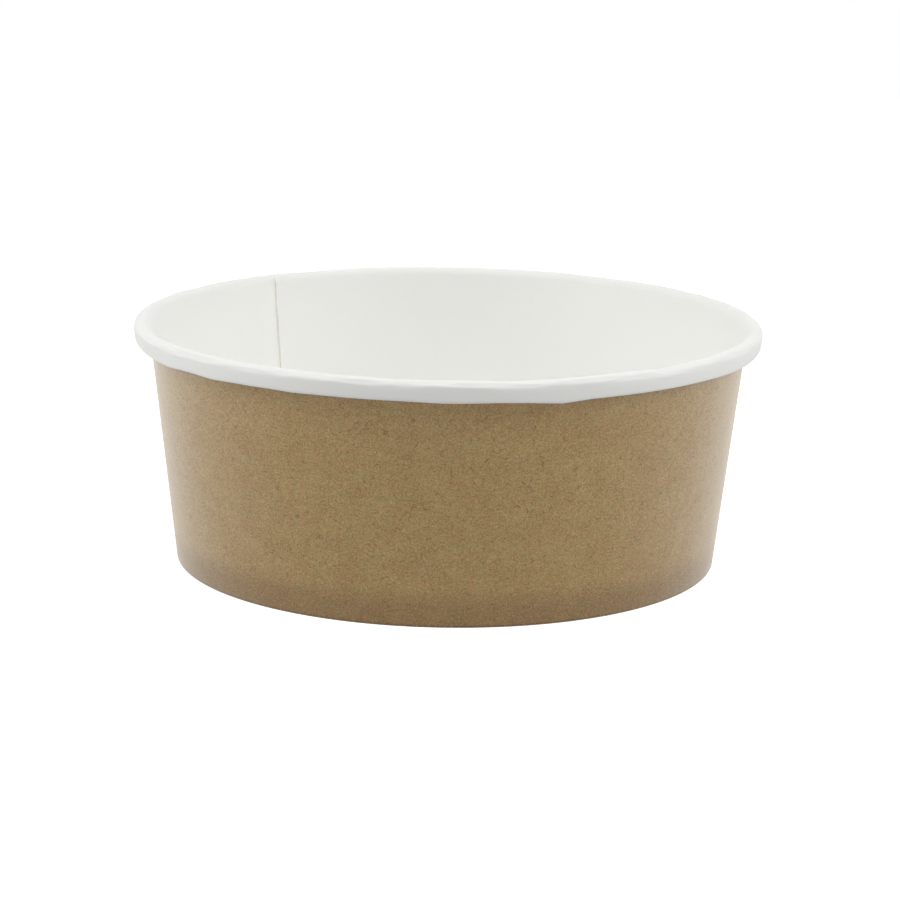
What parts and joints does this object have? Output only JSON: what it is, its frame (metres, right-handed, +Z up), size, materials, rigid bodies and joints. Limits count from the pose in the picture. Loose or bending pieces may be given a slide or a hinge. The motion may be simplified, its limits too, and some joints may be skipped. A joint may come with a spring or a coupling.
{
  "type": "paper bowl",
  "caption": "Round food bowl of coated kraft board: leaning side wall with a lapped seam, rolled rim, folded foot and a recessed base disc. Brown outside, white inside.",
  "frame": {"origin": "centre of the foot ring, on the table", "axes": "+Z up along the bowl's axis; -Y is the side that faces the picture's camera; the side seam's inner edge lies 129 degrees counter-clockwise from +X"},
  "size_m": [0.15, 0.15, 0.058],
  "materials": {
    "kraft_board": "satin",
    "white_board": "satin"
  },
  "bodies": {
    "root": {"side_wall": "kraft_board", "base_disc": "white_board"}
  },
  "joints": []
}
